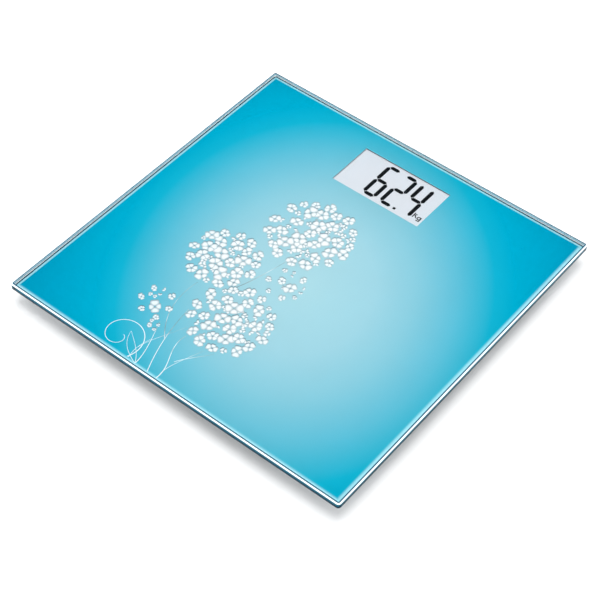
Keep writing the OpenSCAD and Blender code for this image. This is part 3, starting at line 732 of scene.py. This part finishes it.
def addRibbon(tree, curve, g, out):
    # a flat strip along the curve that narrows to its end
    factor = place(tree, "GeometryNodeSplineParameter").outputs["Factor"]
    taper = place(tree, "ShaderNodeMapRange", {"Value": factor, "To Min": 1.0, "To Max": 0.45}).outputs[0]
    curve = place(tree, "GeometryNodeSetCurveNormal", {"Curve": curve}, mode="Z_UP").outputs[0]
    half = calc(tree, "MULTIPLY", g["Width"], 0.5)
    left = place(tree, "ShaderNodeCombineXYZ", {"X": calc(tree, "MULTIPLY", half, -1.0)}).outputs[0]
    right = place(tree, "ShaderNodeCombineXYZ", {"X": half}).outputs[0]
    profile = place(tree, "GeometryNodeCurvePrimitiveLine", {"Start": left, "End": right}).outputs[0]
    line = place(tree, "GeometryNodeCurveToMesh", {
        "Curve": curve, "Profile Curve": profile, "Scale": taper}).outputs[0]
    line = place(tree, "GeometryNodeRealizeInstances", {"Geometry": line}).outputs[0]
    line = place(tree, "GeometryNodeSetMaterial", {"Geometry": line, "Material": g["Ink"]}).outputs[0]
    tree.links.new(line, out.inputs[0])


def faceUp(mesh):
    # printed faces all look up through the glass
    shape = bmesh.new()
    shape.from_mesh(mesh)
    shape.normal_update()
    bmesh.ops.reverse_faces(shape, faces=[face for face in shape.faces if face.normal.z < 0])
    shape.to_mesh(mesh)
    shape.free()


def printed(name, made):
    mesh = joined(name, made)
    faceUp(mesh)
    newPiece(name, mesh, "platform")


def makeBlossoms(look):
    whole = bpy.data.collections.new("wholeBlossoms")
    broken = bpy.data.collections.new("smallBlossoms")
    for k, petals in enumerate(look["petals"]):
        blossom = makeBlossom(f"blossom{k}", petals, look, 0.1 * (k % 3))
        (whole if petals > 3 else broken).objects.link(blossom)
    tree = blossomTree(look)
    layer = glassLow.z + (printLook["sink"] + look["layer"]) * mm
    shared = {"Whole": whole, "Broken": broken, "Petals": petalInk(look),
              "Shade": silverInk("petalShade", look["shade"], look["grey"]),
              "Shift": [look["shadeShift"][0] * mm, look["shadeShift"][1] * mm, -1.5e-6]}
    made = []
    for cluster in clusters:
        lengths = {key.capitalize(): cluster[key] * mm for key in ("gap", "biggest", "smallest", "filler")}
        made.append(runTree(tree, cluster["name"], {
            **shared, **lengths, "Turn": cluster["turn"], "Seed": cluster["seed"],
            "Centre": [v * mm for v in cluster["centre"]] + [layer],
            "Size": [v * mm for v in cluster["size"]] + [1.0]}))
    printed("printedBlossoms", made)
    for collection in (whole, broken):
        for blossom in list(collection.objects):
            bpy.data.objects.remove(blossom)
        bpy.data.collections.remove(collection)


def makeStems(look):
    layer = glassLow.z + (printLook["sink"] + 0.006) * mm
    ink = silverInk("stemInk", look["silver"], look["bright"], look["highlightBelow"] * mm)
    tree = stemTree()
    made = []
    for k, (*points, weight) in enumerate(stems):
        route = {label: [x * mm, y * mm, layer + k * 4e-7]
                 for label, (x, y) in zip(("Start", "First", "Second", "End"), points)}
        made.append(runTree(tree, f"stem{k}", {**route, "Width": look["width"] * weight * mm, "Ink": ink}))
    made.append(runTree(tendrilTree(), "tendril", {
        "Centre": [tendril["centre"][0] * mm, tendril["centre"][1] * mm, layer + 5e-6],
        "Turns": tendril["turns"], "Inner": tendril["start"] * mm, "Outer": tendril["end"] * mm,
        "Turn": [0, 0, math.radians(tendril["turn"])], "Width": look["width"] * tendril["weight"] * mm,
        "Ink": ink}))
    printed("printedStems", made)


makeStems(stemLook)
makeBlossoms(blossomLook)
print("blossoms and stems made")

displayLook = {"ground": (240, 240, 246)}


def displayGround(look):
    # the lit ground of the display: a pale, faintly mottled film under its glass
    finish, tree, shader = newFinish("displayGround")
    vector = objectPlace(tree)
    pearl = noise(tree, vector, 3000.0, 3.0)
    slow = noise(tree, vector, 40.0, 2.0)
    pale = rgb(*look["ground"])
    mottled = calc(tree, "ADD", between(tree, pearl, -0.015, 0.015), between(tree, slow, 0.98, 1.0))
    colour = place(tree, "ShaderNodeVectorMath", {0: pale[:3], 3: mottled}, operation="SCALE").outputs[0]
    tree.links.new(colour, shader.inputs["Base Color"])
    tree.links.new(between(tree, pearl, 0.3, 0.42), shader.inputs["Roughness"])
    shader.inputs["Specular IOR Level"].default_value = 0.25
    addBump(tree, shader, pearl, 0.002 * mm)
    return finish


def paintPlastic(name, nodeNames, dark, light, **look):
    paint(plasticFinish(name, {"dark": rgb(*dark), "light": rgb(*light), **look}), *nodeNames)


def paintMetal(name, nodeNames, dark, light, **look):
    paint(metalFinish(name, {"dark": rgb(*dark), "light": rgb(*light), **look}), *nodeNames)


paint(displayGround(displayLook), "lcd_front_glass")
paintPlastic("displayInk", ["lcd_digits"], (8, 9, 12), (20, 22, 27),
             grain=3800.0, rough=(0.3, 0.45), depth=0.002, specular=0.2)
paintPlastic("displayBackGlass", ["lcd_back_glass"], (150, 170, 168), (188, 205, 203),
             grain=900.0, rough=(0.08, 0.2), depth=0.001)
paintPlastic("reflectorFilm", ["lcd_reflector"], (176, 178, 182), (206, 208, 211),
             grain=1800.0, rough=(0.25, 0.4), depth=0.004)
paintPlastic("displayHolder", ["lcd_holder"], (196, 198, 200), (224, 226, 228),
             grain=2600.0, rough=(0.4, 0.6), depth=0.01)
paintPlastic("gasketFoam", ["window_gasket"], (34, 36, 40), (66, 69, 74),
             grain=1500.0, rough=(0.75, 0.95), depth=0.06)
paintPlastic("zebraRubber", ["contact_strip"], (120, 122, 126), (214, 214, 210),
             grain=2600.0, rough=(0.5, 0.7), depth=0.01)
print("display finished")


def boardFinish():
    # green laminate with its fine weave showing through the mask
    finish, tree, shader = newFinish("boardLaminate")
    vector = objectPlace(tree)
    weave = place(tree, "ShaderNodeTexBrick", {
        "Vector": vector, "Color1": (1, 1, 1, 1), "Color2": (0.7, 0.7, 0.7, 1), "Mortar": (0, 0, 0, 1),
        "Scale": 140.0, "Mortar Size": 0.09, "Brick Width": 2.6, "Row Height": 0.24}).outputs["Fac"]
    fibre = noise(tree, vector, 1800.0, 2.0)
    green = blendColour(tree, fibre, rgb(14, 74, 48), rgb(24, 98, 64))
    colour = blendColour(tree, calc(tree, "MULTIPLY", weave, 0.55), green, rgb(60, 140, 88))
    tree.links.new(colour, shader.inputs["Base Color"])
    tree.links.new(between(tree, fibre, 0.28, 0.42), shader.inputs["Roughness"])
    addBump(tree, shader, calc(tree, "ADD", weave, calc(tree, "MULTIPLY", fibre, 0.3)), 0.02 * mm)
    return finish


paint(boardFinish(), "circuit_board")
paintPlastic("chipResin", ["chip_blob"], (12, 12, 13), (30, 30, 32),
             grain=700.0, rough=(0.22, 0.4), depth=0.03)
paintMetal("tinnedParts", ["board_parts"], (150, 150, 148), (214, 213, 208),
           lines=1600.0, rough=(0.25, 0.5), depth=0.01)
paintMetal("zincScrew", ["board_screws", "cover_screws"], (150, 152, 154), (206, 208, 210),
           lines=1400.0, rough=(0.22, 0.42), depth=0.006)
paintPlastic("switchPlastic", ["switch_body", "switch_plunger"], (26, 27, 29), (52, 53, 56),
             grain=3000.0, rough=(0.4, 0.6), depth=0.01)
paintMetal("cellSteel", ["coin_cell"], (178, 178, 176), (222, 222, 219),
           lines=1900.0, rough=(0.16, 0.32), depth=0.003)
paintMetal("springBrass", ["contact_plus", "contact_minus"], (190, 160, 96), (226, 200, 132),
           lines=1700.0, rough=(0.2, 0.38), depth=0.004)
paintPlastic("foamTape", ["case_tape", *["cup_tape_" + c for c in corners]], (210, 212, 214), (240, 241, 242),
             grain=1300.0, rough=(0.8, 0.98), depth=0.07, blotch=90.0)

caseLook = {"dark": rgb(206, 209, 212), "light": rgb(234, 236, 238), "grain": 2300.0, "rough": (0.38, 0.6),
            "depth": 0.018}
keyLook = {"dark": rgb(120, 124, 130), "light": rgb(150, 154, 160), "grain": 2600.0, "rough": (0.4, 0.6),
           "depth": 0.01}
casePlastic = plasticFinish("casePlastic", caseLook)
softened("case_shell", "caseShell", "platform", casePlastic)
softened("case_cover", "caseCover", "platform", casePlastic, 0.2)
softened("battery_lid", "batteryLid", "battery_door", casePlastic, 0.12)
keyPlastic = plasticFinish("keyPlastic", keyLook)
softened("unit_button", "unitButton", "unit_key", keyPlastic, 0.3, 3)
print("case made")

# feet with their load cells
cupLook = {"dark": rgb(204, 208, 212), "light": rgb(236, 238, 240), "grain": 2300.0, "rough": (0.36, 0.58),
           "depth": 0.018}
plateLook = {"dark": rgb(212, 214, 217), "light": rgb(238, 240, 241), "grain": 2500.0, "rough": (0.4, 0.62),
             "depth": 0.015}
cellLook = {"dark": rgb(148, 150, 150), "light": rgb(208, 210, 210), "lines": 1100.0, "rough": (0.26, 0.46),
            "depth": 0.006}
cellCut = {"neck": 7.0, "tip": -11.0, "tongueHalf": 7.05}


def splitCell(corner, finish):
    # the frame of the cell stays with the cup; its tongue is cut off as a separate, more finely divided piece
    low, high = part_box("load_cell_" + corner)
    middle = (low + high) / 2
    toWires = -1 if middle.y > 0 else 1
    neckY = middle.y + toWires * cellCut["neck"] * mm
    whole = mergedCopy("load_cell_" + corner)
    bmesh.ops.bisect_plane(whole, geom=whole.verts[:] + whole.edges[:] + whole.faces[:],
                           plane_co=(0, neckY, 0), plane_no=(0, 1, 0))
    bmesh.ops.triangulate(whole, faces=whole.faces)

    def onTongue(face):
        spot = face.calc_center_median()
        return abs(spot.x - middle.x) < cellCut["tongueHalf"] * mm and (neckY - spot.y) * toWires > 0

    for part, keep in (("Frame", False), ("Tongue", True)):
        shape = whole.copy()
        gone = [face for face in shape.faces if onTongue(face) != keep]
        bmesh.ops.delete(shape, geom=gone, context="FACES")
        if keep:
            longEdges = [e for e in shape.edges if e.calc_length() > 3 * mm]
            bmesh.ops.subdivide_edges(shape, edges=longEdges, cuts=4)
            bmesh.ops.triangulate(shape, faces=shape.faces)
        name = "loadCell" + part + corner.upper()
        mesh = bpy.data.meshes.new(name)
        shape.to_mesh(mesh)
        shape.free()
        mesh.materials.append(finish)
        smoothOver(mesh)
        piece = bpy.data.objects.new(name, mesh)
        scene.collection.objects.link(piece)
        if keep:
            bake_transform(piece)
        else:
            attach(piece, "platform")
        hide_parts("load_cell_" + corner)
    whole.free()


cupPlastic = plasticFinish("cupPlastic", cupLook)
footPlastic = plasticFinish("footPlastic", plateLook)
cellSteel = metalFinish("loadCellSteel", cellLook)
paintPlastic("padRubber", ["foot_pad_" + c for c in corners], (62, 64, 68), (92, 95, 99),
             grain=1700.0, rough=(0.66, 0.9), depth=0.03, dust=0.35)
paintPlastic("gaugeSilicone", ["gauge_coat_" + c for c in corners], (206, 204, 196), (238, 237, 232),
             grain=500.0, rough=(0.3, 0.5), depth=0.08)
for corner in corners:
    tail = corner.upper()
    softened("cell_cup_" + corner, "cellCup" + tail, "platform", cupPlastic)
    softened("foot_plate_" + corner, "footPlate" + tail, "foot_" + corner, footPlastic, 0.2)
    splitCell(corner, cellSteel)
print("feet made")

# wires, three to a cell, and their clips
wireLook = {"grain": 1800.0, "rough": (0.35, 0.5), "depth": 0.01}
wireColours = [((150, 20, 18), (188, 38, 32)), ((214, 212, 204), (240, 239, 233)),
               ((16, 16, 18), (34, 34, 37))]


def makeWires(corner, finishes):
    # the bundle's three wires, told apart by which vertices hang together, each in its own colour
    shape = bmesh.new()
    shape.from_mesh(nodes["wires_" + corner].data)
    bmesh.ops.remove_doubles(shape, verts=shape.verts, dist=2e-6)
    unseen, islands = set(shape.verts), []
    while unseen:
        waiting, island = [unseen.pop()], []
        while waiting:
            vertex = waiting.pop()
            island.append(vertex)
            for edge in vertex.link_edges:
                other = edge.other_vert(vertex)
                if other in unseen:
                    unseen.remove(other)
                    waiting.append(other)
        islands.append(island)
    islands.sort(key=lambda island: sum(v.co.x for v in island) / len(island))
    for k, island in enumerate(islands):
        for vertex in island:
            for face in vertex.link_faces:
                face.material_index = k % len(finishes)
    mesh = bpy.data.meshes.new("wires" + corner.upper())
    shape.to_mesh(mesh)
    shape.free()
    for finish in finishes:
        mesh.materials.append(finish)
    smoothOver(mesh, 50)
    piece = newPiece("wires" + corner.upper(), mesh, "platform")
    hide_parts("wires_" + corner)


sheaths = []
for k, (dark, light) in enumerate(wireColours):
    sheaths.append(plasticFinish(f"wireSheath{k}", {**wireLook, "dark": rgb(*dark), "light": rgb(*light)}))
for corner in corners:
    makeWires(corner, sheaths)
paintPlastic("clipPlastic", ["wire_clips_" + c for c in corners], (214, 216, 218), (238, 239, 240),
             grain=2200.0, rough=(0.35, 0.55), depth=0.01)
print("wires made")

# floor and light
studio = {"floor": 0.7, "floorHalf": 8, "ceiling": 60.0, "dome": 1.15, "horizon": 0.8, "band": (0.3, 0.55),
          "sky": (0.97, 0.985, 1.0)}


def makeFloor(look):
    shape = bmesh.new()
    bmesh.ops.create_grid(shape, x_segments=8, y_segments=8, size=look["floorHalf"])
    mesh = bpy.data.meshes.new("studioFloor")
    shape.to_mesh(mesh)
    shape.free()
    finish, tree, shader = newFinish("floorPaint")
    vector = objectPlace(tree)
    slow = noise(tree, vector, 2.5, 3.0)
    pale = [look["floor"]] * 3 + [1]
    dull = [look["floor"] - 0.01] * 3 + [1]
    tree.links.new(blendColour(tree, slow, dull, pale), shader.inputs["Base Color"])
    shader.inputs["Roughness"].default_value = 0.9
    shader.inputs["Specular IOR Level"].default_value = 0.0
    mesh.materials.append(finish)
    floor = bpy.data.objects.new("studioFloor", mesh)
    scene.collection.objects.link(floor)


def softLight(name, spot, target, size, power):
    data = bpy.data.lights.new(name, "AREA")
    data.shape = "RECTANGLE"
    data.size, data.size_y = size
    data.energy = power
    lamp = bpy.data.objects.new(name, data)
    lamp.location = spot
    lamp.rotation_euler = (Vector(target) - Vector(spot)).to_track_quat("-Z", "Y").to_euler()
    # it lights the object without showing in the glass or to the camera
    lamp.visible_glossy = False
    lamp.visible_transmission = False
    lamp.visible_camera = False
    scene.collection.objects.link(lamp)


def makeWorld(look):
    # an even dome for the room's light; reflections see it only near the horizon
    world = bpy.data.worlds.new("studioWorld")
    world.use_nodes = True
    scene.world = world
    tree = world.node_tree
    background = tree.nodes["Background"]
    direction = place(tree, "ShaderNodeTexCoord").outputs["Generated"]
    height = place(tree, "ShaderNodeSeparateXYZ", {0: direction}).outputs["Z"]
    band = place(tree, "ShaderNodeMapRange", {
        "Value": height, "From Min": look["band"][0], "From Max": look["band"][1],
        "To Min": look["horizon"], "To Max": 0.0}).outputs[0]
    rays = place(tree, "ShaderNodeLightPath").outputs
    mirrored = calc(tree, "MAXIMUM", rays["Is Glossy Ray"], rays["Is Transmission Ray"])
    seen = rays["Is Camera Ray"]
    dome = place(tree, "ShaderNodeMix", {0: mirrored, 2: look["dome"], 3: band}, data_type="FLOAT").outputs[0]
    level = place(tree, "ShaderNodeMix", {0: seen, 2: dome, 3: 1.0}, data_type="FLOAT").outputs[0]
    tint = place(tree, "ShaderNodeVectorMath", {0: look["sky"], 3: level}, operation="SCALE").outputs[0]
    tree.links.new(tint, background.inputs["Color"])
    background.inputs["Strength"].default_value = 1.0


makeFloor(studio)
softLight("ceilingSoftbox", (-0.15, 0.2, 2.4), (0, 0, 0), (2.0, 2.0), studio["ceiling"])
makeWorld(studio)
scene.view_settings.view_transform = "Standard"
print("studio set")
